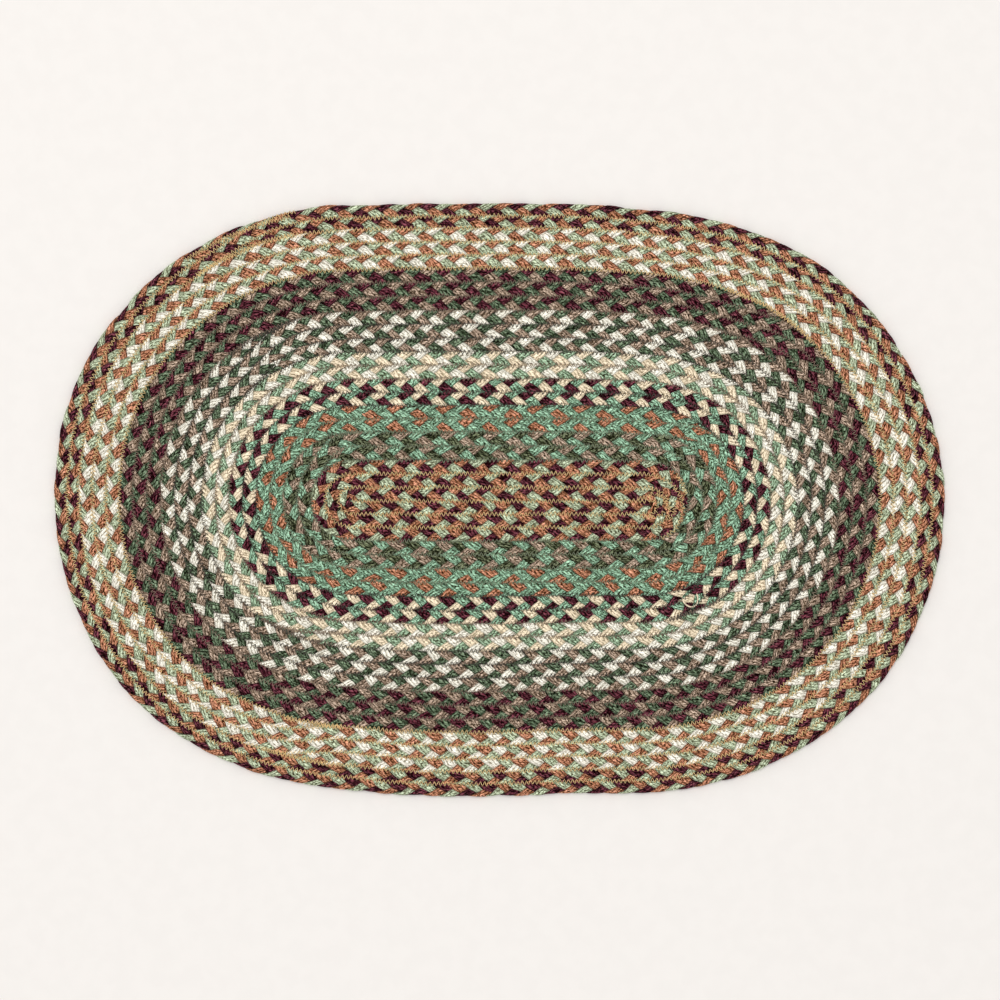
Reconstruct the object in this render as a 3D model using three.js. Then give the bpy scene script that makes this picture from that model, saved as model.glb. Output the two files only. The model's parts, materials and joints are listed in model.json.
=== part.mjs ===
// A small oval doormat of plaited jute. Nine lengths of flat three-strand plait, each in its own
// colours, are wound round a straight middle, one outside the other, and sewn edge to edge.
// Millimetres, +Z up, +X along the mat, origin on the floor under the middle of the mat.
// Each length is one flat solid: its own rounds side by side, with a groove along every seam.
import * as THREE from 'three';
import { mergeVertices } from 'three/addons/utils/BufferGeometryUtils.js';

// Driving dimensions.
const LENGTH = 762;
const WIDTH = 508;
const THICKNESS = 7;
const ROUNDS = 22; // how many times the plait passes between the middle and the rim
const SEAM_HEIGHT = 4.4; // how high the bottom of a groove lies above the floor
const EDGE_HEIGHT = 3.6; // where the rounded rim of a length starts to curve in
const CREST_SHARE = 0.44; // share of a round's width that lies at full thickness
const GAP = 0.3; // between one length of plait and the next

// Fineness of the flat facets.
const END_STEPS = 9; // in each quarter of the oval
const RUN_STEPS = 6; // along each straight run

// Worked out from the dimensions.
const RIM = WIDTH / 2;
const ROUND_WIDTH = RIM / ROUNDS;
const SPINE = LENGTH / 2 - RIM; // half the straight middle that the plait is wound round
const GAP_SHARE = GAP / 2 / ROUND_WIDTH; // what each side of a gap takes, as a share of a round
const MIDWAY = RIM / 2; // turns are measured along the oval halfway out to the rim
const QUARTER_BEND = (Math.PI / 2) * MIDWAY;
const FULL_TURN = 4 * QUARTER_BEND + 4 * SPINE;

// The nine lengths from the middle outwards: how many rounds each makes, and its colour seen whole.
const LENGTHS = [
  { name: 'plait_1_centre', rounds: 3, colour: '#82674f' },
  { name: 'plait_2_mint_olive_taupe', rounds: 2, colour: '#6e715b' },
  { name: 'plait_3_mint_terracotta', rounds: 2, colour: '#83846c' },
  { name: 'plait_4_plum_sand_mint', rounds: 2, colour: '#867e6d' },
  { name: 'plait_5_green_white_sand', rounds: 2, colour: '#b1b099' },
  { name: 'plait_6_taupe_green_white', rounds: 3, colour: '#8e8776' },
  { name: 'plait_7_plum_green_taupe', rounds: 3, colour: '#615248' },
  { name: 'plait_8_white_sage_terracotta', rounds: 3, colour: '#b09e86' },
  { name: 'plait_9_rim', rounds: 2, colour: '#8b705d' },
];

// Where the hand-wound rim leaves the true oval: the place as a share of a full turn, clockwise
// from the right end, how far the rim is pulled in there, and how far along the pull reaches.
const PULLS = [
  { turn: 0.12, inwards: 5.2, spread: 0.045 },
  { turn: 0.2, inwards: 2.6, spread: 0.04 },
  { turn: 0.37, inwards: 7.6, spread: 0.045 },
  { turn: 0.545, inwards: -2.6, spread: 0.04 },
  { turn: 0.645, inwards: 1.7, spread: 0.04 },
  { turn: 0.872, inwards: 8.2, spread: 0.045 },
  { turn: 0.945, inwards: 2.8, spread: 0.03 },
];

// How the hand-wound rounds lie off an even spacing: so many rounds out from the spine, they are
// pushed outwards by so much all the way round, and the whole ring is shifted aside, towards -Y.
const CROWDING = [
  { rounds: 0, outwards: 0, aside: 0.9 },
  { rounds: 3, outwards: 0.3, aside: 0.4 },
  { rounds: 5, outwards: 1.2, aside: 0.4 },
  { rounds: 9, outwards: 1.3, aside: 1.1 },
  { rounds: 13, outwards: 1.7, aside: 1.1 },
  { rounds: 17, outwards: 3.1, aside: 0.2 },
  { rounds: 20, outwards: 2.5, aside: 0 },
  { rounds: 22, outwards: 0, aside: 0 },
];

// How far out from the spine, and how far aside, a place lies that is so many rounds out.
function crowdedAt(rounds) {
  const after = Math.max(CROWDING.findIndex((entry) => entry.rounds >= rounds), 1);
  const [low, high] = [CROWDING[after - 1], CROWDING[after]];
  const share = (rounds - low.rounds) / (high.rounds - low.rounds);
  const outwards = low.outwards + share * (high.outwards - low.outwards);
  const aside = low.aside + share * (high.aside - low.aside);
  return { out: rounds * ROUND_WIDTH + outwards, aside };
}

// How much of its true reach the winding has at a place on the turn.
function reachAt(turn) {
  const pulledIn = PULLS.reduce((sum, pull) => {
    const apart = Math.abs(turn - pull.turn);
    const away = Math.min(apart, 1 - apart) / pull.spread;
    return sum + pull.inwards * Math.exp(-away * away);
  }, 0);
  return 1 - pulledIn / RIM;
}

// The foot on the spine and the outward direction at a distance round the midway oval. The turn
// runs clockwise from above: lower right bend, lower run, left bend, upper run, upper right bend.
function placeAt(distance) {
  const lowerRun = distance - QUARTER_BEND;
  const upperRun = distance - 3 * QUARTER_BEND - 2 * SPINE;
  if (lowerRun <= 0) {
    return { foot: SPINE, bearing: -distance / MIDWAY };
  }
  if (lowerRun <= 2 * SPINE) {
    return { foot: SPINE - lowerRun, bearing: -Math.PI / 2 };
  }
  if (upperRun <= 0) {
    return { foot: -SPINE, bearing: -Math.PI / 2 - (lowerRun - 2 * SPINE) / MIDWAY };
  }
  if (upperRun <= 2 * SPINE) {
    return { foot: upperRun - SPINE, bearing: (-3 * Math.PI) / 2 };
  }
  return { foot: SPINE, bearing: (-3 * Math.PI) / 2 - (upperRun - 2 * SPINE) / MIDWAY };
}

// Distances round the midway oval at which a cross-section is taken, evenly in each stretch.
function sectionDistances() {
  const stretches = [
    { length: QUARTER_BEND, steps: END_STEPS },
    { length: 2 * SPINE, steps: RUN_STEPS },
    { length: 2 * QUARTER_BEND, steps: 2 * END_STEPS },
    { length: 2 * SPINE, steps: RUN_STEPS },
    { length: QUARTER_BEND, steps: END_STEPS },
  ];
  const distances = [];
  let start = 0;
  for (const { length, steps } of stretches) {
    for (let i = 0; i < steps; i += 1) {
      distances.push(start + (length * i) / steps);
    }
    start += length;
  }
  return distances;
}

// The cross-section of a length, from its inner foot over the rounds to its outer foot, as rounds
// out from the spine and heights. The innermost length starts at the spine itself.
function crossSection(firstRound, rounds) {
  const inner = firstRound + (firstRound > 0 ? GAP_SHARE : 0);
  const outer = firstRound + rounds - GAP_SHARE;
  const slope = (1 - CREST_SHARE) / 2;
  const innerHeight = firstRound > 0 ? EDGE_HEIGHT : SEAM_HEIGHT;
  const section = [{ rounds: inner, up: 0 }, { rounds: inner, up: innerHeight }];
  for (let i = 0; i < rounds; i += 1) {
    const start = firstRound + i;
    section.push({ rounds: start + slope, up: THICKNESS });
    section.push({ rounds: start + 1 - slope, up: THICKNESS });
    if (i < rounds - 1) {
      section.push({ rounds: start + 1, up: SEAM_HEIGHT });
    }
  }
  section.push({ rounds: outer, up: EDGE_HEIGHT });
  section.push({ rounds: outer, up: 0 });
  return section;
}

// Carries a cross-section once round the oval and closes it on itself. Every corner of the section
// lies on a line out from the spine, so all the lengths bend alike and stay parallel.
function woundSolid(section) {
  const distances = sectionDistances();
  const onSpine = section[0].rounds === 0;
  const corners = distances.flatMap((distance) => {
    const { foot, bearing } = placeAt(distance);
    const reach = reachAt(distance / FULL_TURN);
    return section.flatMap(({ rounds, up }) => {
      const { out, aside } = crowdedAt(rounds);
      return [
        foot + Math.cos(bearing) * out * reach,
        Math.sin(bearing) * out * reach - aside,
        up,
      ];
    });
  });
  const triangles = [];
  distances.forEach((_, i) => {
    const here = i * section.length;
    const next = ((i + 1) % distances.length) * section.length;
    section.forEach((_corner, j) => {
      const k = (j + 1) % section.length;
      const isSpineWall = onSpine && j === 0;
      if (!isSpineWall) {
        triangles.push(here + j, next + j, next + k);
        triangles.push(here + j, next + k, here + k);
      }
    });
  });
  return closedGeometry(corners, triangles);
}

// Joins corners that coincide, and drops the triangles that this leaves with no area.
function closedGeometry(corners, triangles) {
  const loose = new THREE.BufferGeometry();
  loose.setAttribute('position', new THREE.Float32BufferAttribute(corners, 3));
  loose.setIndex(triangles);
  const geometry = mergeVertices(loose, 1e-3);
  const kept = [];
  const index = geometry.getIndex();
  for (let i = 0; i < index.count; i += 3) {
    const [a, b, c] = [index.getX(i), index.getX(i + 1), index.getX(i + 2)];
    if (a !== b && b !== c && c !== a) {
      kept.push(a, b, c);
    }
  }
  geometry.setIndex(kept);
  geometry.computeVertexNormals();
  return geometry;
}

const doormat = new THREE.Group();
let firstRound = 0;
for (const { name, rounds, colour } of LENGTHS) {
  const geometry = woundSolid(crossSection(firstRound, rounds));
  const jute = new THREE.MeshStandardMaterial({ color: colour, roughness: 0.95, metalness: 0 });
  const length = new THREE.Mesh(geometry, jute);
  length.name = name;
  doormat.add(length);
  firstRound += rounds;
}

export default doormat;
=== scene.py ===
"""An oval jute doormat: nine lengths of three-strand plait, wound and sewn edge to edge.

Everything is in metres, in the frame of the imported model: +X along the mat, +Z up, the floor at 0.
"""

import json
import math
from collections import namedtuple

import bpy
import numpy as np
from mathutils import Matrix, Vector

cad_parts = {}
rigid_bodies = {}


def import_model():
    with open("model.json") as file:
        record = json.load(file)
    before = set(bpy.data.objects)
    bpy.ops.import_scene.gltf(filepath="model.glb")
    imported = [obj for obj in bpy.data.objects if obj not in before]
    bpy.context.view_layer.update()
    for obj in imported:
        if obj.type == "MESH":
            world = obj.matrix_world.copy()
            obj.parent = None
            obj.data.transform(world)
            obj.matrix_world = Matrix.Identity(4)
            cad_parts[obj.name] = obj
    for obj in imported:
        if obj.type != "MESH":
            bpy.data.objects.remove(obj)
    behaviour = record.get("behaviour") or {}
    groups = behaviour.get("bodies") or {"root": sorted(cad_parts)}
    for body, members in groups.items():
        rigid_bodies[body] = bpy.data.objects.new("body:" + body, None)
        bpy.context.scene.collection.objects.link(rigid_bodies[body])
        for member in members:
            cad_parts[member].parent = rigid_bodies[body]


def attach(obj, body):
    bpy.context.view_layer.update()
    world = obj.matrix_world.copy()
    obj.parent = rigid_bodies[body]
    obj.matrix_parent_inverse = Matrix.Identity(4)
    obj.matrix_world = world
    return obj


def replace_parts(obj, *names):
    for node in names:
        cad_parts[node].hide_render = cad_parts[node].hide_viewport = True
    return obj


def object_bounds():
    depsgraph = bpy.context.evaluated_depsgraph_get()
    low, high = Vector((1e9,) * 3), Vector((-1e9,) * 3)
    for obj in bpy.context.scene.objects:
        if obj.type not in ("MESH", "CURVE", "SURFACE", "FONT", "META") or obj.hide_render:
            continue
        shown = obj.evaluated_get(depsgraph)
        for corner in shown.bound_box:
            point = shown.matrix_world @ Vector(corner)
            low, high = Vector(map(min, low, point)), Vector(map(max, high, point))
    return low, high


bl_info = {
    "name": "Plaited Jute Doormat",
    "version": (1, 0, 0),
    "blender": (4, 5, 0),
    "location": "View3D > Sidebar > Doormat",
    "description": "Winds, sews and lights an oval doormat of plaited jute",
    "category": "Add Mesh",
}

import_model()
CAD_LOW, CAD_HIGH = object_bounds()

BODY = "root"
TURN = 2 * math.pi
MM = 0.001

# ---- The maker's list ----

# start: where the length begins, as a share of a turn clockwise from the right end. step: how much
# of a turn it takes to climb out by one round. pitch: one full change of colours, in mm. apex: how
# far the crossing line lies outside the middle of the plait, in mm.
Length = namedtuple("Length", "node rounds yarns thread start step pitch apex")
LENGTHS = (
    Length("plait_1_centre", 3, "terracotta sage plum", "gold", -0.12, 0.24, 37.0, 1.0),
    Length("plait_2_mint_olive_taupe", 2, "mint olive taupe", "moss", 0.557, 0.101, 39.5, 0.5),
    Length("plait_3_mint_terracotta", 2, "mint mint terracotta", "moss", 0.865, 0.072, 40.1, 1.0),
    Length("plait_4_plum_sand_mint", 2, "mint plum sand", "bark", 0.082, 0.054, 35.1, 1.0),
    Length("plait_5_green_white_sand", 2, "white green sand", "stone", 0.356, 0.055, 38.2, 1.0),
    Length("plait_6_taupe_green_white", 3, "taupe white forest", "bark", 0.576, 0.049, 36.4, 0.5),
    Length("plait_7_plum_green_taupe", 3, "plum forest taupe", "stone", 0.882, 0.044, 37.9, 1.0),
    Length("plait_8_white_sage_terracotta", 3, "terracotta sage white", "gold", 0.351, 0.030, 38.7, 1.5),
    Length("plait_9_rim", 2, "plum sage terracotta", "gold", 0.594, 0.040, 38.6, 1.5),
)

# How the hand-wound rounds lie off an even spacing: so many rounds out from the spine, a place is
# pushed outwards by so many mm all the way round, and shifted by so many mm towards -Y.
Crowd = namedtuple("Crowd", "rounds pushed aside")
CROWDING = (
    Crowd(0, 0.0, 0.9),
    Crowd(3, 0.3, 0.4),
    Crowd(5, 1.2, 0.4),
    Crowd(9, 1.3, 1.1),
    Crowd(13, 1.7, 1.1),
    Crowd(17, 3.1, 0.2),
    Crowd(20, 2.5, 0.0),
    Crowd(22, 0.0, 0.0),
)

# Where the hand-wound rim leaves the true oval, by how many mm it is pulled inwards there, and how
# far along the pull reaches. Places are shares of a turn.
Pull = namedtuple("Pull", "turn inwards width")
PULLS = (
    Pull(0.12, 5.2, 0.045),
    Pull(0.2, 2.6, 0.04),
    Pull(0.37, 7.6, 0.045),
    Pull(0.545, -2.6, 0.04),
    Pull(0.645, 1.7, 0.04),
    Pull(0.872, 8.2, 0.045),
    Pull(0.945, 2.8, 0.03),
)

# Where a seam was sewn again to hold an end down: the length whose thread it is, counted from 1,
# from where to where, in turns clockwise from the right end, and how many rounds out from the spine
# there, or None to go along the length's own inner edge.
Extra = namedtuple("Extra", "length start end rounds")
EXTRAS = (
    Extra(1, 0.84, 1.033, (0.2, 1.45)),
    Extra(1, 0.055, 0.158, (1.45, 1.15)),
    Extra(1, 0.93, 0.985, (2.85, 2.85)),
    Extra(1, 0.0, 0.07, (2.1, 2.1)),
    Extra(4, 0.082, 0.136, (8.95, 8.95)),
    Extra(5, 0.356, 0.411, (10.95, 10.95)),
    Extra(5, 2.356, 2.40, None),
    Extra(6, 0.585, 0.625, (13.9, 13.9)),
    Extra(8, 0.882, 0.926, (16.98, 16.98)),
    Extra(8, 0.351, 0.377, (17.1, 17.1)),
    Extra(8, 0.351, 0.377, (19.9, 19.9)),
    Extra(9, 0.594, 0.632, (21.6, 21.6)),
    Extra(9, 0.594, 0.632, (20.1, 20.1)),
)

# The one yarn that has worked loose: its length of plait, counted from 1, where it lies, its size
# along and out, its thickness, how far below the top it comes out, and how high it rises from there.
Loop = namedtuple("Loop", "length yarn turn rounds breadth reach diameter sunk rise")
LOOP = Loop(4, "sand", 0.113, 7.85, 13 * MM, 8.5 * MM, 1.3 * MM, 3 * MM, 4 * MM)

# The cut end of the first strand, folded under the first bend: its length, the share of it within
# the spine, how far it lies beside that and above the floor, and its half sizes across.
Fold = namedtuple("Fold", "length within aside height breadth depth")
FOLD = Fold(24 * MM, 0.75, 2.1 * MM, 3.2 * MM, 4.5 * MM, 1.5 * MM)

POINTS_A_ROUND = 1500  # in the table of a length's middle line, and of a seam
TAIL = 0.012  # how far the ends of a length run on under the seams, as a share of a turn
TAIL_HEIGHT = 0.35  # and their height there, as a share of the plait's thickness
NARROWEST = 0.34  # the least width of an end, as a share of a round
REACH_OVER = 1.1  # how far the folds reach over a seam between those of the next round
RIM_SWING = 0.85  # how far the folds on the free rim swing out, as a share of their sway
TUCK = 0.23  # how many rounds the very first bend reaches in over the end of the spine
TUCK_TURN, TUCK_WIDTH = 0.03, 0.1  # where it does so, and how far along, as shares of a turn

# How the rounds stray from a true curve: whole waves in a turn, and radians of lag per metre out.
STRAY = 0.22 * MM
STRAY_WAVES = np.array((19, 34, 57))
STRAY_LAGS = np.array((150.0, -110.0, 190.0))

# What varies along a plait: by how much, as a share or for the stagger in metres, over about what
# length, and what is added to the seed for it.
Uneven = namedtuple("Uneven", "amount wavelength seed")
PITCH_VARIES = Uneven(0.05, 0.11, 0)
STAGGER_VARIES = Uneven(0.8 * MM, 0.03, 1)
SWAY_VARIES = Uneven(0.07, 0.04, 2)
DEPTH_VARIES = Uneven(0.09, 0.05, 3)
REACH_VARIES = Uneven(0.06, 0.06, 4)

STRANDS = 3
STRAIGHTEN = 0.08  # how much of the sine of three times the phase is taken from a strand's swing
SECTION_POINTS = 12
FURROW = 0.88  # the height of every other point of a section, as a share
RING_DEGREES = (-60, -34, -12, 12, 34, 60)  # about each fold at an edge
YARNS_ROUND = 10

HOLE_SHIFT = 0.13  # how far a needle hole is off its place, as a share of half a stitch
SWINGS = (0.8, 1.14)  # how far the needle swings, as shares of the throw
SINKS = (0.1, 0.9)  # how deep the ends of a leg of thread sink in, in radii of the thread
RIDES = (-0.1, 0.9)  # how high its middle rides over the plait, in radii
SAG = 0.7  # how far that may sag below the line between its ends, in radii
AGAIN = 0.75  # the length of a stitch where a seam is sewn again, as a share

UNDYED = (0.62, 0.50, 0.36)  # bare jute
YARN_MAP = "YarnMap"
BAKE_MAP = "OFBake"
# How far in from the edge of its round a point lies, as a share of half its width, or on a stitch
# how far from its holes.
# The materials paint shade where this is low: along the seams of the plait, and on the thread near its
# holes.
INWARD = "Inward"

# Noise on a yarn: its swells to a metre along and to one yarn across, its detail and roughness.
Pattern = namedtuple("Pattern", "along across detail roughness")
STROLL = Pattern(110.0, 0.5, 1.0, 0.5)  # how far the yarns lie off their place in the strand
BATCH = Pattern(45.0, 5.37, 1.0, 0.5)  # how deeply each yarn took the dye
FLECK = Pattern(330.0, 3.71, 1.0, 0.5)  # light and dark where the twist turns
FIBRE = Pattern(600.0, 3.0, 2.0, 0.6)  # single fibres
# The speck's low places are painted shade in small gaps between fibres, its high places undyed fibres.
SPECK = Pattern(620.0, 2.4, 0.0, 0.5)  # dark gaps and undyed fibres
THREAD = Pattern(310.0, 1.0, 2.0, 0.5)  # the uneven colour of sewing thread

TWIST = 2.1 * MM  # the length of one turn of a yarn's twist
TWIST_LEAN = 3.5  # radians of the twist from one side of a yarn to the other
TWIST_STEP = 2.4  # radians of the twist from one yarn to the next
SLANT = 1.1 * MM  # how far along a yarn its flecks lean from one side of it to the other
STROLL_REACH = 0.9  # how many yarns wide the stroll is
SHADE_POWERS = (0.94, 1.03, 1.22)  # red, green and blue of the tone, so that dark is warmer
# The painted highlight, added where the tone passes one, takes these shares of red, green and blue.
SHINE = (1.03, 1.0, 0.93)  # red, green and blue of what is added where the tone passes one

# How strongly a yarn shows its light and shade, by how pale its dye is.
Contrast = namedtuple("Contrast", "pale power")
CONTRASTS = (
    Contrast(0.02, 1.1), Contrast(0.06, 0.93), Contrast(0.3, 0.86), Contrast(0.42, 0.66),
    Contrast(0.7, 0.82),
)

FLOOR_SIZE = 24.0
LAMP_SIZE = 2.6
LAMP_PLACE = (-0.7, 1.2, 5.2)
LAMP_COLOUR = (1.0, 0.985, 0.965)
SKY_COLOUR = (1.0, 0.995, 0.985, 1.0)


# ---- Settings ----


def number(name, description, default, low, high, **units):
    """A number property."""
    return bpy.props.FloatProperty(
        name=name, description=description, default=default, min=low, max=high, **units
    )


def metres(*settings):
    """A length property in metres."""
    return number(*settings, subtype="DISTANCE", unit="LENGTH", precision=4)


def colour(name, description, default):
    """A colour property, given as the red, green and blue of a dry dyed yarn."""
    return bpy.props.FloatVectorProperty(
        name=name, description=description, default=default, size=3, min=0.0, max=1.0,
        subtype="COLOR",
    )


class DoormatWinding(bpy.types.PropertyGroup):
    """Sizes of the wound plait."""

    length: metres("Length", "Length of the finished mat", 0.762, 0.3, 2.0)
    width: metres("Width", "Width of the finished mat", 0.508, 0.2, 1.5)
    thickness: metres("Thickness", "Thickness of the plait", CAD_HIGH.z, 0.003, 0.02)
    rounds: bpy.props.IntProperty(
        name="Rounds", description="Rounds of plait from the middle to the rim",
        default=22, min=4, max=60,
    )
    sway: metres("Sway", "How far a strand swings to each side of the plait", 6.5 * MM, 0.001, 0.02)
    lift: metres("Lift", "How far a strand rises and dips as it crosses", 1.7 * MM, 0.0005, 0.01)
    depth: metres("Depth", "Half the depth of a strand", 1.6 * MM, 0.0005, 0.01)
    crossing: metres(
        "Crossing", "How far the front of a strand is raised in the middle", 2.8 * MM, 0.0, 0.01
    )
    cover: number("Cover", "Width of a strand along the plait, as a share of its place", 1.1, 0.5, 1.5)


class DoormatThread(bpy.types.PropertyGroup):
    """Sizes of the zigzag stitching."""

    diameter: metres("Thread diameter", "Thickness of the sewing thread", 0.68 * MM, 0.0002, 0.003)
    stitch: metres("Stitch length", "Length of one full zigzag along the seam", 3.6 * MM, 0.001, 0.02)
    throw: metres("Throw", "How far the needle swings across the seam", 4.3 * MM, 0.001, 0.02)
    inset: metres("Inset", "How far the stitching lies inwards of the seam", 0.2 * MM, 0.0, 0.01)


class DoormatDyes(bpy.types.PropertyGroup):
    """Colours of the yarns and threads."""

    plum: colour("Plum", "Dark red-purple jute", (0.037, 0.004, 0.009))
    terracotta: colour("Terracotta", "Orange-brown jute", (0.46, 0.19, 0.10))
    sage: colour("Sage", "Pale grey-green jute", (0.47, 0.55, 0.38))
    white: colour("White", "Bleached jute", (0.82, 0.79, 0.69))
    taupe: colour("Taupe", "Grey-brown jute", (0.37, 0.27, 0.20))
    forest: colour("Forest", "Dark green jute", (0.065, 0.10, 0.055))
    sand: colour("Sand", "Pale yellow-brown jute", (0.82, 0.69, 0.50))
    mint: colour("Mint", "Blue-green jute", (0.26, 0.45, 0.31))
    green: colour("Green", "Middling green jute", (0.29, 0.42, 0.28))
    olive: colour("Olive", "Dull dark green jute", (0.045, 0.055, 0.025))
    gold: colour("Gold thread", "Yellow-brown thread", (0.90, 0.65, 0.30))
    moss: colour("Moss thread", "Dull green thread", (0.25, 0.29, 0.18))
    bark: colour("Bark thread", "Dark grey-brown thread", (0.045, 0.035, 0.022))
    stone: colour("Stone thread", "Grey-brown thread", (0.27, 0.19, 0.13))


class DoormatStage(bpy.types.PropertyGroup):
    """The floor, the lights and the camera."""

    floor: colour("Floor", "Pale floor", (0.872, 0.842, 0.816))
    camera_width: metres("View width", "Width of floor that the camera takes in", 0.857, 0.3, 5.0)
    lens: number(
        "Lens", "Focal length of the camera", 85.0, 20.0, 300.0,
        subtype="DISTANCE_CAMERA", unit="CAMERA",
    )
    lamp_power: number(
        "Lamp power", "Power of the large lamp overhead", 105.0, 0.0, 1000.0,
        subtype="POWER", unit="POWER",
    )
    sky: number("Sky strength", "Brightness of the even light all round", 0.76, 0.0, 10.0)


# ---- The winding ----


class Winding:
    """The oval that all the lengths follow, and the places on it."""

    def __init__(self, sizes):
        self.rim = sizes.width / 2
        self.round = self.rim / sizes.rounds
        self.spine = sizes.length / 2 - self.rim
        quarter = math.pi / 2 * self.rim / 2
        run = 2 * self.spine
        self.knots = np.cumsum((0, quarter, run, 2 * quarter, run, quarter))
        self.feet = self.spine * np.array((1, 1, -1, -1, 1, 1))
        self.bearings = -math.pi / 2 * np.array((0, 1, 1, 3, 3, 4))
        self.rounds_out, self.pushed, self.aside = np.array(CROWDING).T

    def reach(self, turn):
        """The share of its true reach that the winding has: one less the sum of bell curves, one
        for each pull, over the rim's radius."""
        place, inwards, width = np.array(PULLS).T
        away = np.abs((turn[..., None] - place + 0.5) % 1 - 0.5) / width
        return 1 - (inwards * MM * np.exp(-away * away)).sum(-1) / self.rim

    def stray(self, turn, out):
        """How far a round strays outwards: three sines of the turn that lag more the farther out
        they lie, fading over the first round."""
        lag = STRAY_LAGS * out[..., None]
        waves = np.sin(TURN * STRAY_WAVES * turn[..., None] - lag).sum(-1)
        return STRAY * waves * np.clip(out / self.round, 0, 1)

    def breadth(self, rounds):
        """How wide a round is, as a share of an even round's width: one plus how much farther its
        outer edge is pushed than its inner edge, over that width."""
        outer = np.interp(rounds + 0.5, self.rounds_out, self.pushed)
        inner = np.interp(rounds - 0.5, self.rounds_out, self.pushed)
        return 1 + (outer - inner) * MM / self.round

    def place(self, turn, rounds):
        """The foot on the spine plus the distance out along the bearing, times the reach, less the
        shift aside. Foot and bearing go in straight lines between the ends of the runs and bends,
        and the push and the shift between the entries of the crowding."""
        turn, rounds = turn % 1, np.asarray(rounds)
        distance = turn * self.knots[-1]
        foot = np.interp(distance, self.knots, self.feet)
        bearing = np.interp(distance, self.knots, self.bearings)
        out = rounds * self.round + np.interp(rounds, self.rounds_out, self.pushed) * MM
        aside = np.interp(rounds, self.rounds_out, self.aside) * MM
        reach = (out + self.stray(turn, out)) * self.reach(turn)
        return np.stack((foot + np.cos(bearing) * reach, np.sin(bearing) * reach - aside), -1)


def ease(u):
    """A step from 0 to 1 that starts and ends level: three u squared less two u cubed."""
    u = np.clip(u, 0, 1)
    return u * u * (3 - 2 * u)


def wander(distance, uneven, seed):
    """A smooth irregular wave: the amount times the sum of five sines of random phase, over 1.9.
    They are from 0.35 to 2.2 wavelengths long."""
    draw = np.random.default_rng(seed + uneven.seed)
    lengths = uneven.wavelength * draw.uniform(0.35, 2.2, 5)
    phases = draw.uniform(0, TURN, 5)
    waves = np.sin(TURN * distance[..., None] / lengths + phases).sum(-1)
    return uneven.amount * (waves / 1.9)


def unit(vectors):
    """Vectors scaled to length one."""
    return vectors / np.maximum(np.linalg.norm(vectors, axis=-1, keepdims=True), 1e-12)


def hop_lengths(line):
    """The distance from each place of a line to the next."""
    return np.linalg.norm(np.diff(line, axis=0), axis=1)


def summed(steps):
    """The running total of steps, from 0."""
    return np.concatenate(((0,), np.cumsum(steps)))


class Line:
    """A flat line that goes clockwise. Its tables hold its places, how far along it they lie, which
    is the sum of the hops before them, and the direction out from them, square to its left."""

    def __init__(self, places):
        along = unit(np.gradient(places, axis=0))
        self.places = places
        self.outward = np.stack((-along[:, 1], along[:, 0]), -1)
        self.distance = summed(hop_lengths(places))

    def read(self, table, distance):
        """A table's entries at distances along the line, in straight lines between them."""
        if table.ndim == 1:
            return np.interp(distance, self.distance, table)
        return np.stack([np.interp(distance, self.distance, column) for column in table.T], -1)

    def beside(self, distance, side):
        """The places at distances along the line and to one side of it."""
        outward = self.read(self.outward, distance)
        return self.read(self.places, distance) + outward * side[..., None]


def length_edges(first_round, item, turn):
    """How many rounds out the inner and outer edge of a length lie. After k full rounds and a share
    u of the step, the outer edge is k plus u rounds out and the inner edge k less one plus u,
    neither passing the edges of the length's own ring."""
    laps = turn - item.start
    done = np.clip(np.floor(laps + 1e-9), 0, item.rounds)
    climb = ease((laps - done) / item.step)
    outer = np.minimum(done + climb, item.rounds)
    inner = np.maximum(done - 1 + climb, 0)
    return first_round + inner, first_round + outer


class Path(Line):
    """The middle line of a length."""

    def __init__(self, winding, first_round, item, seed):
        """Phase grows by one turn for each pitch, and the pitch varies a little along the way. The
        two ends run on as narrow tails, pressed down under the seams that they taper out of and
        into: they widen with the power 0.8 of the room between the edges, and rise with the square
        root of that."""
        last = item.start + item.rounds + item.step
        turn = np.linspace(item.start - TAIL, last + TAIL, item.rounds * POINTS_A_ROUND)
        inner, outer = length_edges(first_round, item, turn)
        if first_round == 0:
            inner = inner - TUCK * np.exp(-(((turn - TUCK_TURN) / TUCK_WIDTH) ** 2))
        filled = np.clip(outer - inner, 0, 1) ** 0.8
        share = NARROWEST + (1 - NARROWEST) * filled
        self.raised = TAIL_HEIGHT + (1 - TAIL_HEIGHT) * filled ** 0.5
        spare = np.maximum(share - (outer - inner), 0) / 2
        middle = (inner + outer) / 2 + np.where(turn < item.start + 0.5, spare, -spare)
        self.share = share * winding.breadth(middle)
        super().__init__(winding.place(turn, middle))
        pitch = item.pitch * MM * (1 + wander(self.distance[1:], PITCH_VARIES, seed))
        self.phase = TURN * summed(hop_lengths(self.places) / pitch)


def squeezed(side, half):
    """A distance to one side, pressed in so that it never passes half the width of a round: the
    outer seventh is let through by one less a falling exponential."""
    free = 6 / 7 * half
    spare = half - free
    over = np.maximum(np.abs(side) - free, 0)
    return np.sign(side) * (np.minimum(np.abs(side), free) + spare * (1 - np.exp(-over / spare)))


def strand_section():
    """The outline of a strand, a lens, going round from its rear edge: how far forward and how far
    out from the middle each point lies, from -1 to 1, and its share of the way round."""
    angles = TURN * np.arange(SECTION_POINTS) / SECTION_POINTS
    ahead = -np.sign(np.cos(angles)) * np.abs(np.cos(angles)) ** 0.9
    raised = np.sign(np.sin(angles)) * np.abs(np.sin(angles)) ** 0.75
    furrow = np.arange(SECTION_POINTS) % (SECTION_POINTS // 2) % 2 == 0
    raised = raised * np.where(furrow, FURROW, 1.0)
    return ahead, raised, angles / TURN


Tube = namedtuple("Tube", "rings along around inward")


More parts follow.
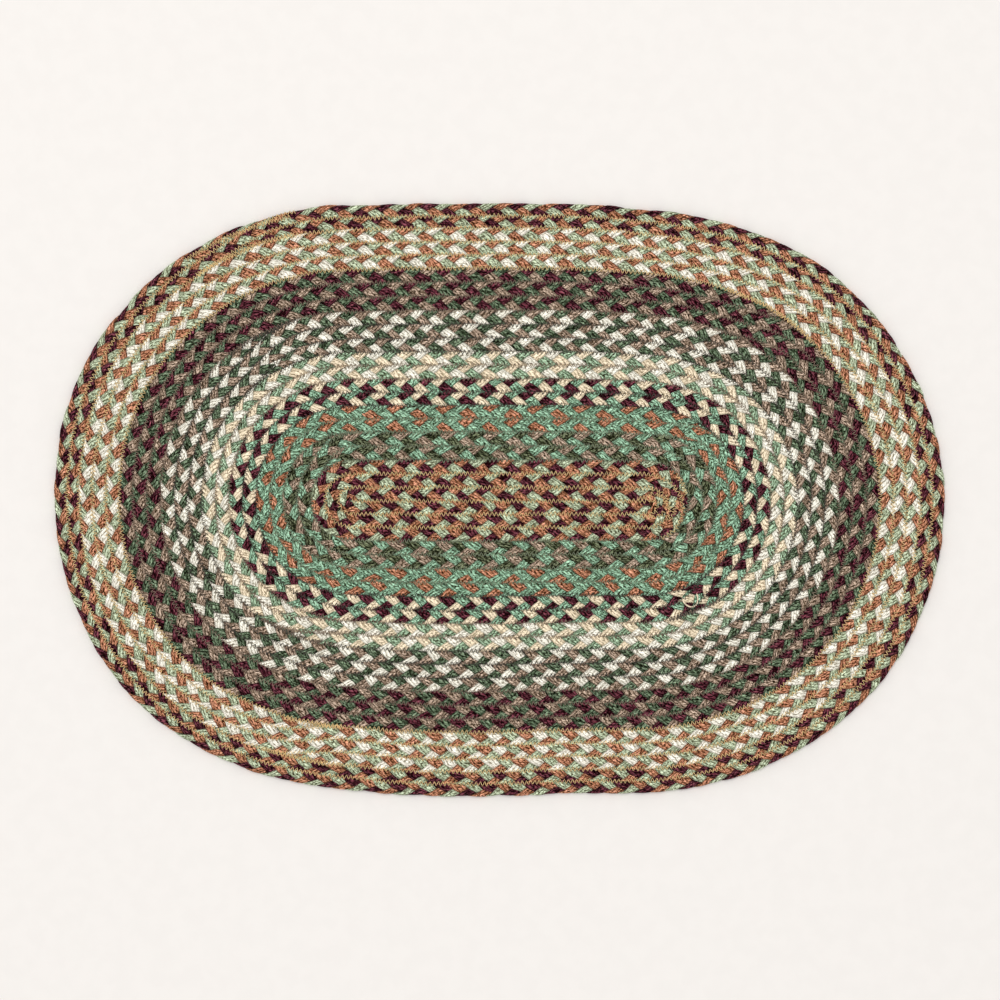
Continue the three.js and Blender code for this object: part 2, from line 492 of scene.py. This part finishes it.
def strand_tube(winding, path, sizes, item, section, which, seed):
    """One strand as a tube. Its middle swings to each side by sway times a straightened sine of its
    phase, which is the sine less a little of the sine of three times the phase, shifted outwards by
    apex times cosine squared. It rises and dips by lift times the sine of twice the phase, made
    squarer by its square root, so it is on top on its way from the middle to either edge. A ring
    reaches along the plait far enough to meet the next strand, and its depth is square to the
    swing, so the strand folds over at each edge. At the middle the front of the ring is raised and
    the back lowered, to let it through between the other two."""
    lag = TURN * which / STRANDS
    turns = np.arange(math.ceil(path.phase[-1] / math.pi) + 4) - 3  # half turns of the phase
    own = ((turns[:, None] + 0.5) * math.pi + np.radians(RING_DEGREES)).ravel() + math.pi * which
    distance = np.interp(own + lag, path.phase, path.distance)
    kept = (distance > 0) & (distance < path.distance[-1])
    own, distance = own[kept], distance[kept]
    share = path.read(path.share, distance)
    sway = sizes.sway * (1 + wander(distance, SWAY_VARIES, seed))
    across = np.cos(own) ** 2
    swung = (np.sin(own) - STRAIGHTEN * np.sin(3 * own)) / (1 + STRAIGHTEN)
    turned = (np.cos(own) - 3 * STRAIGHTEN * np.cos(3 * own)) / (1 + STRAIGHTEN)
    side = item.apex * MM * across + sway * swung
    height = sizes.lift * np.sign(np.sin(2 * own)) * np.abs(np.sin(2 * own)) ** 0.5
    swing = sway * turned - item.apex * MM * np.sin(2 * own)
    climb = 2 * sizes.lift * np.cos(2 * own)
    steep = np.hypot(swing, climb)
    ahead, out, around = section
    plump = 1 + wander(distance, DEPTH_VARIES, seed)
    depth = sizes.depth * plump * (1 - 0.25 * (1 - across) ** 2)
    reach = item.pitch * MM / 6 * sizes.cover * (1 + wander(distance, REACH_VARIES, seed))
    staggered = distance + wander(distance, STAGGER_VARIES, seed)
    at = np.clip(staggered[:, None] + reach[:, None] * ahead, 0, path.distance[-1])
    side = side[:, None] - (climb / steep * depth)[:, None] * out
    height = (
        height[:, None]
        + (swing / steep * depth)[:, None] * out
        + (sizes.crossing * (0.3 + 0.7 * across**2))[:, None] * ahead
    )
    free = (side > 0) & (item is LENGTHS[-1]) & (distance > path.distance[-1] / 2)[:, None]
    side = np.where(free, RIM_SWING * side, squeezed(side, REACH_OVER * winding.round / 2))
    inward = np.maximum(1 - np.abs(side) / (winding.round / 2), 0)
    side = side * share[:, None]
    middle = sizes.thickness / 2
    raised = path.read(path.raised, distance)[:, None]
    height = middle * raised + np.clip(height, -middle, middle) * raised
    rings = np.concatenate((path.beside(at, side), height[..., None]), -1)
    return Tube(rings, summed(hop_lengths(rings.mean(1))), around, inward)


# ---- Meshes ----


def tube_faces(steps, points):
    """The four-cornered faces of a tube: each joins point j and its neighbour on ring i to the same
    two on the next ring."""
    i, j = np.meshgrid(np.arange(steps), np.arange(points), indexing="ij")
    k = (j + 1) % points
    here, after = i * points, (i + 1) * points
    return np.stack((here + j, here + k, after + k, after + j), -1).reshape(-1, 4)


def tube_map(along, around):
    """For each face corner of a tube, its value along, which may differ from ring to ring, and its
    share of the way round, which goes on past one at the last point."""
    grid = np.stack(np.meshgrid(along, np.append(around, 1 + around[0]), indexing="ij"), -1)
    corners = (grid[:-1, :-1], grid[:-1, 1:], grid[1:, 1:], grid[1:, :-1])
    return np.stack(corners, 2).reshape(-1, 2)


def bake_rows(steps, around, first_row, rows_each, rows):
    """Where each face corner of a long tube lies on the unit square. The tube is cut into rows of
    equal length laid one above the other: across a row goes the way along, up it the way round."""
    margin = 0.02
    per_row = math.ceil(steps / rows_each)
    places = tube_map(np.arange(steps + 1.0), around).reshape(steps, -1, 4, 2)
    row = np.arange(steps) // per_row
    u = places[..., 0] / per_row - row[:, None, None]
    share = margin + (1 - 2 * margin) * (places[..., 1] - around[0])
    v = first_row + row[:, None, None] + share
    return np.stack((u, v / rows), -1).reshape(-1, 2)


def build_mesh(name, corners, quads, caps, maps, slots, materials, inward):
    """A mesh of four-cornered faces and end caps. Maps give a place for each corner of the
    four-cornered faces; the caps are put at the maps' own corner."""
    loops = np.concatenate([quads.ravel(), *caps])
    sizes = np.concatenate((np.full(len(quads), 4), [len(cap) for cap in caps]))
    mesh = bpy.data.meshes.new(name)
    mesh.vertices.add(len(corners))
    mesh.vertices.foreach_set("co", corners.astype(np.float32).ravel())
    mesh.loops.add(len(loops))
    mesh.loops.foreach_set("vertex_index", loops.astype(np.int32))
    mesh.polygons.add(len(sizes))
    mesh.polygons.foreach_set("loop_start", summed(sizes)[:-1].astype(np.int32))
    mesh.polygons.foreach_set("material_index", np.asarray(slots, np.int32))
    mesh.update(calc_edges=True)
    for title, places in maps.items():
        layer = mesh.uv_layers.new(name=title, do_init=False)
        whole = np.concatenate((places, np.zeros((len(loops) - quads.size, 2))))
        layer.uv.foreach_set("vector", whole.astype(np.float32).ravel())
    layer = mesh.attributes.new(INWARD, "FLOAT", "POINT")
    layer.data.foreach_set("value", inward.astype(np.float32))
    mesh.polygons.foreach_set("use_smooth", np.ones(len(sizes), bool))
    for material in materials:
        mesh.materials.append(material)
    mesh.validate()
    return mesh


def mesh_of_strands(name, tubes, materials):
    """One closed mesh of a few long tubes, each ended by a flat cap and in a material of its own."""
    corners, quads, caps, yarn, bake, slots = [], [], [], [], [], []
    length = max(tube.along[-1] for tube in tubes)
    girth = 2.6 * np.ptp(tubes[0].rings[0], axis=0).max()  # about as far as round a section
    rows_each = max(1, round(math.sqrt(length / (len(tubes) * girth))))
    rows = len(tubes) * rows_each
    start = 0
    for number, tube in enumerate(tubes):
        count, points = tube.rings.shape[:2]
        first = start + np.arange(points)
        corners.append(tube.rings.reshape(-1, 3))
        quads.append(start + tube_faces(count - 1, points))
        caps += [first[::-1], first + (count - 1) * points]
        yarn.append(tube_map(tube.along, tube.around) * (1, YARNS_ROUND))
        bake.append(bake_rows(count - 1, tube.around, number * rows_each, rows_each, rows))
        slots.append(np.full((count - 1) * points, number))
        start += count * points
    slots.append(np.repeat(np.arange(len(tubes)), 2))
    maps = {BAKE_MAP: np.concatenate(bake), YARN_MAP: np.concatenate(yarn)}
    inward = np.concatenate([tube.inward.ravel() for tube in tubes])
    return build_mesh(
        name, np.concatenate(corners), np.concatenate(quads), caps, maps, np.concatenate(slots),
        materials, inward,
    )


def mesh_of_legs(name, rings, material):
    """One mesh of many short closed tubes with the same number of rings. On the bake map each has
    its own square of a chequerboard, and on the yarn map its own place."""
    margin, apart = 0.05, 7 * MM
    many, count, points = rings.shape[:3]
    around = np.arange(points) / points
    base = count * points * np.arange(many)
    quads = (base[:, None, None] + tube_faces(count - 1, points)).reshape(-1, 4)
    ends = np.stack((np.arange(points)[::-1], np.arange(points) + (count - 1) * points))
    caps = (base[:, None, None] + ends).reshape(-1, points)
    side = math.ceil(math.sqrt(many))
    square = np.stack((np.arange(many) % side, np.arange(many) // side), -1)
    shares = tube_map(np.arange(count) / (count - 1), around)
    bake = (square[:, None] + margin + (1 - 2 * margin) * shares) / side
    length = np.linalg.norm(rings[:, -1].mean(1) - rings[:, 0].mean(1), axis=1)
    size = np.stack((length, np.ones(many)), -1)
    yarn = shares * size[:, None] + square[:, None] * (apart, 0)
    maps = {BAKE_MAP: bake.reshape(-1, 2), YARN_MAP: yarn.reshape(-1, 2)}
    slots = np.zeros(len(quads) + len(caps))
    # 1 in the middle of a leg and 0 at its holes; the thread material paints shade where this is low.
    middle = 1 - np.abs(np.linspace(-1, 1, count))
    inward = np.tile(np.repeat(middle, points), many)
    return build_mesh(name, rings.reshape(-1, 3), quads, list(caps), maps, slots, [material], inward)


def placed(data, location=(0.0, 0.0, 0.0)):
    """A new object in the scene, with the name of its data."""
    thing = bpy.data.objects.new(data.name, data)
    thing.location = location
    bpy.context.scene.collection.objects.link(thing)
    return thing


def add_piece(mesh, slot):
    """A finished mesh, as a piece that rides on the mat."""
    piece = placed(mesh)
    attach(piece, BODY)
    return piece


# ---- Materials ----


class Nodes:
    """A short way to lay out and join shader nodes."""

    def __init__(self, name):
        self.material = bpy.data.materials.new(name)
        self.material.use_nodes = True
        self.tree = self.material.node_tree
        self.shader = self.tree.nodes["Principled BSDF"]

    def feed(self, socket, value):
        """Joins an output to a socket, or sets the socket to a plain value."""
        if isinstance(value, bpy.types.NodeSocket):
            self.tree.links.new(value, socket)
        else:
            socket.default_value = value

    def add(self, kind, **settings):
        """A new node with these settings."""
        node = self.tree.nodes.new(kind)
        for key, value in settings.items():
            setattr(node, key, value)
        return node

    def fed(self, node, values):
        """A node's first output, once its first inputs have been joined or set."""
        for socket, value in zip(node.inputs, values):
            self.feed(socket, value)
        return node.outputs[0]

    def maths(self, operation, *values):
        """A sum or function of up to three values."""
        return self.fed(self.add("ShaderNodeMath", operation=operation), values)

    def times(self, first, second):
        """Two values multiplied."""
        return self.maths("MULTIPLY", first, second)

    def vector(self, x, y, z=0.0):
        """Three values as one place or colour."""
        return self.fed(self.add("ShaderNodeCombineXYZ"), (x, y, z))

    def ranged(self, *values):
        """A value carried over from between two values to between two others, and held there."""
        return self.fed(self.add("ShaderNodeMapRange", clamp=True), values)

    def noise(self, place, scale, detail, roughness=0.5):
        """A cloudy pattern over a place, from 0 to 1."""
        node = self.add("ShaderNodeTexNoise")
        settings = {"Vector": place, "Scale": scale, "Detail": detail, "Roughness": roughness}
        for title, value in settings.items():
            self.feed(node.inputs[title], value)
        return node.outputs["Fac"]

    def grain(self, along, across, pattern):
        """A pattern of noise over a yarn."""
        place = self.vector(self.times(along, pattern.along), self.times(across, pattern.across))
        return self.noise(place, 1.0, pattern.detail, pattern.roughness)

    def mix(self, factor, first, second, blend="MIX"):
        """Two colours mixed or blended."""
        node = self.add("ShaderNodeMix", data_type="RGBA", blend_type=blend)
        self.feed(node.inputs[0], factor)
        self.feed(node.inputs[6], first)
        self.feed(node.inputs[7], second)
        return node.outputs[2]

    def yarn_place(self):
        """How far along its strand a point lies, and how many yarns round it."""
        split = self.add("ShaderNodeSeparateXYZ")
        self.fed(split, self.add("ShaderNodeUVMap", uv_map=YARN_MAP).outputs)
        return split.outputs[:2]

    def inward(self):
        """How far in from the edge of its round a point lies."""
        return self.add("ShaderNodeAttribute", attribute_name=INWARD).outputs["Fac"]

    def finished(self, settings):
        """The material, once the shader's sockets have been joined or set."""
        for title, value in settings.items():
            self.feed(self.shader.inputs[title], value)
        return self.material


def between(value, start, end):
    """How far a value has come from a start to an end, from 0 to 1."""
    return min(1.0, max(0.0, (value - start) / (end - start)))


# What a pattern does to the tone of a yarn: it is multiplied by dark where the pattern is low and
# by light where it is high, and by something between the two elsewhere.
Shading = namedtuple("Shading", "pattern low high dark light")


def jute_material(name, dye):
    """A bundle of dyed yarns, with painted light along their crowns and painted shade in the furrows
    between, along the strands' edges and along the seams, each with its own depth of dye, flecks where
    its twist turns, and a few undyed fibres. The tone is the product of the shadings, to the power of
    the contrast. The dye is multiplied by it up to one, and what is over one is added as painted
    shine."""
    n = Nodes(name)
    along, around = n.yarn_place()
    stroll = n.maths("SUBTRACT", n.grain(along, around, STROLL), 0.5)
    around = n.maths("MULTIPLY_ADD", stroll, STROLL_REACH, around)
    # Near 0 at a strand's two edges, which the shadings below darken as painted shade.
    fold = n.maths("ABSOLUTE", n.maths("SINE", n.times(around, TURN / YARNS_ROUND)))
    number = n.maths("FLOOR", around)
    across = n.maths("SUBTRACT", around, number)
    off_crown = n.maths("ABSOLUTE", n.maths("MULTIPLY_ADD", across, 2.0, -1.0))
    crown = n.maths("SUBTRACT", 1.0, n.maths("POWER", off_crown, 2.2))
    slant = n.maths("MULTIPLY_ADD", across, SLANT, along)
    batch = n.grain(along, number, BATCH)
    fleck = n.grain(slant, number, FLECK)
    fibre = n.grain(slant, around, FIBRE)
    speck = n.grain(slant, around, SPECK)
    turned = n.maths("MULTIPLY_ADD", number, TWIST_STEP, n.times(along, TURN / TWIST))
    ply = n.maths("SINE", n.maths("MULTIPLY_ADD", across, TWIST_LEAN, turned))

    pale = sum(dye) / 3  # light passes between pale yarns, so their furrows are less dark
    dim = between(pale, 0.4, 0.0)  # undyed fibres show more the darker the dye is
    deep = between(pale, 0.15, 0.0)  # and the darkest yarns have the strongest flecks
    clean = between(pale, 0.5, 0.67)  # while bleached yarn hardly shows its lines
    shadings = (
        Shading(
            fleck, 0.38, 0.58, dark=0.38 + 0.42 * pale - 0.2 * deep + 0.1 * clean,
            light=1.45 - 0.46 * pale + deep - 0.1 * clean,
        ),
        Shading(fibre, 0.39, 0.58, 0.2 + 0.48 * clean, 1.56 - 0.36 * clean),
        Shading(ply, -1.0, 1.0, 0.74 + 0.15 * pale, 1.22),
        # Painted light along the crown of each yarn and painted shade in the furrows between the yarns.
        Shading(crown, 0.05, 0.65, 0.02 + 0.32 * pale + 0.25 * clean, 1.3 + 0.9 * deep),
        # Painted shade along both edges of each strand, where it folds under its neighbours.
        Shading(fold, 0.0, 0.2, 0.28 + 0.15 * pale, 1.04),
        # Painted shade in the seams, near the edges of each round.
        Shading(n.inward(), 0.0, 0.08, 0.82, 1.0),
        # Painted shade in small gaps between the fibres.
        Shading(
            speck, 0.37, 0.45 - 0.02 * clean, dark=0.02 + 0.1 * pale + 0.2 * clean,
            light=1.12 - 0.05 * clean,
        ),
    )
    tone = n.ranged(batch, 0.3, 0.7, 0.82 + 0.1 * pale, 1.28 - 0.1 * pale)
    for shading in shadings:
        tone = n.times(tone, n.ranged(*shading))
    tone = n.maths("POWER", tone, float(np.interp(pale, *zip(*CONTRASTS))))

    faded = [max(c, 0.45 * math.sqrt(c) + 0.04 * bare) for c, bare in zip(dye, UNDYED)]
    patchy = n.ranged(fleck, 0.56 - 0.02 * deep, 0.72 - 0.04 * deep, 0.0, 0.55)
    undyed = n.ranged(speck, 0.58, 0.67, 0.0, 0.8 * dim)
    ground = n.mix(patchy, (*dye, 1.0), (*faded, 1.0))
    ground = n.mix(undyed, ground, (*faded, 1.0))
    shades = (n.maths("POWER", tone, power) for power in SHADE_POWERS)
    shade = n.vector(*(n.maths("MINIMUM", part, 1.0) for part in shades))
    # Painted highlight: what the tone has over one adds a paler colour as shine.
    over = n.maths("MAXIMUM", n.maths("SUBTRACT", tone, 1.0), 0.0)
    shine = [0.55 * c + 0.25 * pale * part for c, part in zip(dye, SHINE)]
    added = n.vector(*(n.times(over, part) for part in shine))
    # The yarn's colour: dye with faded and undyed flecks, times the tone with its painted shade, plus
    # the painted shine.
    worn_with_painted_light = n.mix(1.0, n.mix(1.0, ground, shade, "MULTIPLY"), added, "ADD")

    bump = n.add("ShaderNodeBump")
    n.feed(bump.inputs["Strength"], 1.0)
    n.feed(bump.inputs["Distance"], 0.45 * MM)
    height = n.maths("MULTIPLY_ADD", ply, 0.12, n.maths("MULTIPLY_ADD", fleck, 0.35, crown))
    n.feed(bump.inputs["Height"], height)
    return n.finished({
        "Base Color": worn_with_painted_light,
        "Roughness": 0.86,
        "Specular IOR Level": 0.02,
        "Sheen Weight": 0.01,
        "Sheen Roughness": 0.5,
        "Normal": bump.outputs[0],
    })


def thread_material(name, dye):
    """Sewing thread of a slightly uneven colour, with painted shade darkening it towards its holes."""
    n = Nodes(name)
    tone = n.ranged(n.grain(*n.yarn_place(), THREAD), 0.35, 0.65, 0.6, 1.35)
    # Painted shade where the thread dips down into its needle holes.
    tone = n.times(tone, n.ranged(n.inward(), 0.0, 0.25, 0.3, 1.0))
    worn_with_painted_light = n.mix(1.0, (*dye, 1.0), n.vector(tone, tone, tone), "MULTIPLY")
    return n.finished({"Base Color": worn_with_painted_light, "Roughness": 0.6, "Sheen Weight": 0.1})


def floor_material(dye):
    """A pale matt floor, very faintly cloudy."""
    n = Nodes("pale_floor")
    cloud = n.noise(n.add("ShaderNodeTexCoord").outputs["Object"], 60.0, 3.0)
    dim = [0.985 * c for c in dye]
    ground = n.mix(n.ranged(cloud, 0.4, 0.6, 0.0, 1.0), (*dye, 1.0), (*dim, 1.0))
    return n.finished({"Base Color": ground, "Roughness": 0.95, "Specular IOR Level": 0.1})


def dyed(kind, name):
    """The material of a yarn or thread colour, made the first time it is asked for."""
    title = f"{name}_{kind}"
    made = bpy.data.materials.get(title)
    if made is None:
        dye = tuple(getattr(bpy.context.scene.doormat_dyes, name))
        made = (jute_material if kind == "jute" else thread_material)(title, dye)
    return made


# ---- Plait and stitching ----


def first_rounds():
    """Each length with its place in the list and its first round, from the middle outwards."""
    start = 0
    for number, item in enumerate(LENGTHS):
        yield number, start, item
        start += item.rounds


def round_tube(line, broad, thick, points):
    """A tube about a line: each ring is an oval square to it, broad level and thick upright."""
    forward = unit(np.gradient(line, axis=0))
    level = unit(np.cross(forward, (0, 0, 1)))
    above = np.cross(level, forward)
    around = np.arange(points) / points
    rings = (
        line[:, None]
        + broad[:, None, None] * np.cos(TURN * around)[:, None] * level[:, None]
        + thick[:, None, None] * np.sin(TURN * around)[:, None] * above[:, None]
    )
    return Tube(rings, summed(hop_lengths(line)), around, np.ones(rings.shape[:2]))


def tucked_end(winding, fold):
    """A flat oval bundle along the end of the spine, which narrows towards its own ends by the
    square root of a sine."""
    share = np.linspace(0.02, 0.98, 12)
    line = np.full((len(share), 3), (0.0, -fold.aside, fold.height))
    line[:, 0] = winding.spine + fold.length * (share - fold.within)
    full = np.sqrt(np.sin(math.pi * share))
    return round_tube(line, fold.breadth * full, fold.depth * full, SECTION_POINTS)


def yarn_loop(winding, loop):
    """Most of an oval lying on the plait, with its open side inwards: minus the cosine of the angle
    along the plait and its sine outwards, each times the loop's size. It rises with a power of the
    sine of the way along it."""
    angle = np.radians(np.linspace(-25, 205, 36))
    turn = np.array(loop.turn)
    middle = winding.place(turn, loop.rounds)
    outward = unit(winding.place(turn, loop.rounds + 0.1) - middle)
    along = np.array((outward[1], -outward[0]))
    share = np.linspace(0, 1, len(angle))
    line = np.empty((len(angle), 3))
    line[:, :2] = (
        middle
        - loop.breadth / 2 * np.cos(angle)[:, None] * along
        + loop.reach * np.sin(angle)[:, None] * outward
    )
    line[:, 2] = CAD_HIGH.z - loop.sunk + loop.rise * np.sin(math.pi * share) ** 0.4
    radius = loop.diameter / 2 * (1 + 0.08 * np.sin(9 * angle))
    return round_tube(line, radius, radius, 8)


class DOORMAT_OT_wind_plait(bpy.types.Operator):
    """Wind the nine lengths of three-strand plait round the spine"""

    bl_idname = "doormat.wind_plait"
    bl_label = "Wind plait"
    bl_options = {"REGISTER", "UNDO"}

    def execute(self, context):
        sizes = context.scene.doormat_winding
        winding = Winding(sizes)
        section = strand_section()
        for number, start, item in first_rounds():
            path = Path(winding, start, item, number)
            seed = 1000 * (number + 1)
            tubes = [
                strand_tube(winding, path, sizes, item, section, which, seed + 10 * which)
                for which in range(STRANDS)
            ]
            materials = [dyed("jute", yarn) for yarn in item.yarns.split()]
            if number == 0:
                tubes.append(tucked_end(winding, FOLD))
                materials.append(materials[0])
            if number + 1 == LOOP.length:
                tubes.append(yarn_loop(winding, LOOP))
                materials.append(dyed("thread", LOOP.yarn))
            mesh = mesh_of_strands(item.node + "_plait", tubes, materials)
            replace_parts(add_piece(mesh, item.node), item.node)
        return {"FINISHED"}


def gathered(items, field, kind=np.float32, width=1):
    """One field of all the items, as an array."""
    values = np.empty(width * len(items), kind)
    items.foreach_get(field, values)
    return values


class Relief:
    """The highest point of the plait over each small square of the floor."""

    CELL = 0.6 * MM

    def __init__(self, meshes):
        """Every face is sampled at four by four places, each a mean of its corners, and a square
        keeps the highest that falls in it, or in one of the eight squares round it."""
        margin = 20 * MM
        self.low = np.array((CAD_LOW.x, CAD_LOW.y)) - margin
        size = np.array((CAD_HIGH.x, CAD_HIGH.y)) + margin - self.low
        self.grid = np.zeros(np.ceil(size / self.CELL).astype(int) + 1)
        u, v = np.meshgrid(np.linspace(0.1, 0.9, 4), np.linspace(0.1, 0.9, 4))
        weights = np.stack(((1 - u) * (1 - v), u * (1 - v), u * v, (1 - u) * v), -1).reshape(-1, 4)
        for mesh in meshes:
            corners = gathered(mesh.vertices, "co", width=3)
            loops = gathered(mesh.loops, "vertex_index", np.int32)
            count = gathered(mesh.polygons, "loop_total", np.int32)
            quads = loops[: 4 * np.count_nonzero(count == 4)].reshape(-1, 4)
            faces = corners.reshape(-1, 3)[quads]
            faces = faces[faces[:, :, 2].mean(1) > CAD_HIGH.z / 2]
            places = np.einsum("wc,fcx->fwx", weights, faces).reshape(-1, 3)
            np.maximum.at(self.grid, self.cell(places), places[:, 2])
        for axis in (0, 1):
            wide = np.maximum(np.roll(self.grid, 1, axis), np.roll(self.grid, -1, axis))
            self.grid = np.maximum(self.grid, wide)

    def cell(self, places):
        """The square that each place lies in."""
        cell = ((places[..., :2] - self.low) / self.CELL).astype(int)
        cell = np.clip(cell, 0, np.array(self.grid.shape) - 1)
        return cell[..., 0], cell[..., 1]

    def height(self, places):
        """The highest point at each place."""
        return self.grid[self.cell(places)]


def zigzag(seam, thread, relief, stitch, seed):
    """A zigzag of thread, as one short tube for each leg. The needle holes lie half the throw to
    either side of the seam and half a stitch apart, a little unevenly. A leg comes up out of one
    hole, passes over the plait, or near the line between its holes if that is higher, and goes down
    into the next. A ring is a triangle, square to the leg, point upwards."""
    draw = np.random.default_rng(seed)
    count = max(3, int(seam.distance[-1] / (stitch / 2)))
    way = np.where(np.arange(count) % 2 == 0, 0.5, -0.5)
    distance = np.linspace(0, seam.distance[-1], count)
    distance = distance + draw.uniform(-HOLE_SHIFT, HOLE_SHIFT, count) * stitch / 2
    side = way * thread.throw * draw.uniform(*SWINGS, count)
    holes = seam.beside(distance, side)
    share = np.array((0.0, 0.5, 1.0))[:, None]
    flat = holes[:-1, None] * (1 - share) + holes[1:, None] * share
    radius = thread.diameter / 2
    top = relief.height(flat)
    bridge = (top[:, 0] + top[:, 2]) / 2 - SAG * radius
    top[:, 1] = np.maximum(top[:, 1], bridge) + draw.uniform(*RIDES, count - 1) * radius
    top[:, (0, 2)] -= draw.uniform(*SINKS, (count - 1, 2)) * radius
    run = unit(holes[1:] - holes[:-1])
    square = np.stack((-run[:, 1], run[:, 0]), -1)[:, None, None]
    angles = TURN * (np.arange(3) / 3 + 0.25)
    rings = np.empty((count - 1, 3, 3, 3))
    rings[..., :2] = flat[:, :, None] + radius * np.cos(angles)[:, None] * square
    rings[..., 2] = np.maximum(top, radius)[:, :, None] + radius * np.sin(angles)
    return rings


def flat_size(plait):
    """The size of a plait's strands laid flat side by side. Their length is the farthest place on
    the yarn map, and their width together is half the area of their skin over that length."""
    areas = gathered(plait.data.polygons, "area")
    length = float(gathered(plait.data.uv_layers[YARN_MAP].uv, "vector", width=2)[::2].max())
    return float(areas.sum()) / 2 / length, length


def seam_line(winding, turn, rounds):
    """A line to sew along, without places that coincide."""
    places = winding.place(turn, rounds)
    kept = np.concatenate(((True,), hop_lengths(places) > 1e-6))
    return Line(places[kept])


def sewn_lines(winding, first_round, item, inset):
    """The lines that a length is sewn along, and whether that is for the second time: its own inner
    edge from end to end, which on the innermost length begins with the one seam along the spine,
    and the runs gone over again."""
    start = item.start if first_round else 1 - winding.knots[2] / winding.knots[-1]
    last = item.start + item.rounds + item.step
    turn = np.linspace(start, last, item.rounds * POINTS_A_ROUND)
    inner = length_edges(first_round, item, turn)[0]
    yield seam_line(winding, turn, inner - inset / winding.round * np.minimum(inner, 1)), False
    for extra in EXTRAS:
        if LENGTHS[extra.length - 1] is item:
            again = np.linspace(extra.start, extra.end, 200)
            edge = length_edges(first_round, item, again)[0]
            rounds = np.linspace(*extra.rounds, 200) if extra.rounds else edge
            yield seam_line(winding, again, rounds), True


class DOORMAT_OT_sew_seams(bpy.types.Operator):
    """Sew every length of plait to the one inside it with zigzag stitches"""

    bl_idname = "doormat.sew_seams"
    bl_label = "Sew seams"
    bl_options = {"REGISTER", "UNDO"}

    def execute(self, context):
        thread = context.scene.doormat_thread
        winding = Winding(context.scene.doormat_winding)
        plaits = [bpy.data.meshes.get(item.node + "_plait") for item in LENGTHS]
        if None in plaits:
            raise RuntimeError("wind the plait before sewing it")
        relief = Relief(plaits)
        for number, start, item in first_rounds():
            legs = []
            for seam, again in sewn_lines(winding, start, item, thread.inset):
                stitch = thread.stitch * (AGAIN if again else 1.0)
                seed = 500 + 20 * number + len(legs)
                legs.append(zigzag(seam, thread, relief, stitch, seed))
            material = dyed("thread", item.thread)
            mesh = mesh_of_legs(item.node + "_stitching", np.concatenate(legs), material)
            stitching = add_piece(mesh, item.node)
            plait = bpy.data.objects[item.node + "_plait"]
            flat_size(plait)
        return {"FINISHED"}


def lay_floor(stage):
    """A wide square, level with the underside of the mat."""
    half = FLOOR_SIZE / 2
    mesh = bpy.data.meshes.new("floor")
    corners = [(-half, -half, 0), (half, -half, 0), (half, half, 0), (-half, half, 0)]
    mesh.from_pydata(corners, [], [(0, 1, 2, 3)])
    mesh.materials.append(floor_material(tuple(stage.floor)))
    placed(mesh)


def light_stage(stage):
    """One large round lamp aimed at the mat, and an even light all round."""
    lamp_data = bpy.data.lights.new("overhead_lamp", "AREA")
    lamp_data.shape = "DISK"
    lamp_data.size = LAMP_SIZE
    lamp_data.energy = stage.lamp_power
    lamp_data.color = LAMP_COLOUR
    lamp = placed(lamp_data, LAMP_PLACE)
    lamp.rotation_mode = "QUATERNION"
    lamp.rotation_quaternion = (-lamp.location).to_track_quat("-Z", "Y")

    world = bpy.data.worlds.new("even_light")
    world.use_nodes = True
    background = world.node_tree.nodes["Background"]
    background.inputs["Color"].default_value = SKY_COLOUR
    background.inputs["Strength"].default_value = stage.sky
    bpy.context.scene.world = world


def aim_camera(stage):
    """A camera straight above, as far off as its lens needs to take in the view's width."""
    camera_data = bpy.data.cameras.new("camera")
    camera_data.lens = stage.lens
    away = stage.camera_width * stage.lens / camera_data.sensor_width
    bpy.context.scene.camera = placed(camera_data, (0.0, 0.0, away + CAD_HIGH.z))


class DOORMAT_OT_set_stage(bpy.types.Operator):
    """Lay the pale floor, hang the soft lights and aim the camera straight down"""

    bl_idname = "doormat.set_stage"
    bl_label = "Set stage"
    bl_options = {"REGISTER", "UNDO"}

    def execute(self, context):
        stage = context.scene.doormat_stage
        lay_floor(stage)
        light_stage(stage)
        aim_camera(stage)
        context.scene.view_settings.view_transform = "Standard"
        return {"FINISHED"}


class DOORMAT_PT_panel(bpy.types.Panel):
    """Settings and steps of the doormat, in the order in which they are made"""

    bl_idname = "DOORMAT_PT_panel"
    bl_label = "Doormat"
    bl_space_type = "VIEW_3D"
    bl_region_type = "UI"
    bl_category = "Doormat"

    def draw(self, context):
        for name, group in GROUPS.items():
            box = self.layout.box()
            for setting in group.__annotations__:
                box.prop(getattr(context.scene, name), setting)
        for step in STEPS:
            self.layout.operator(step.bl_idname)


STEPS = (DOORMAT_OT_set_stage, DOORMAT_OT_wind_plait, DOORMAT_OT_sew_seams)
GROUPS = {
    "doormat_winding": DoormatWinding,
    "doormat_thread": DoormatThread,
    "doormat_dyes": DoormatDyes,
    "doormat_stage": DoormatStage,
}
CLASSES = (*GROUPS.values(), *STEPS, DOORMAT_PT_panel)


def register():
    """Tells Blender the classes, and hangs the settings on its scenes."""
    for cls in CLASSES:
        bpy.utils.register_class(cls)
    for name, group in GROUPS.items():
        setattr(bpy.types.Scene, name, bpy.props.PointerProperty(type=group))


def unregister():
    """Takes them away again."""
    for name in GROUPS:
        delattr(bpy.types.Scene, name)
    for cls in reversed(CLASSES):
        bpy.utils.unregister_class(cls)


def main():
    """Builds the mat and its stage."""
    register()
    bpy.ops.doormat.set_stage()
    bpy.ops.doormat.wind_plait()
    bpy.ops.doormat.sew_seams()


if __name__ == "__main__":
    main()
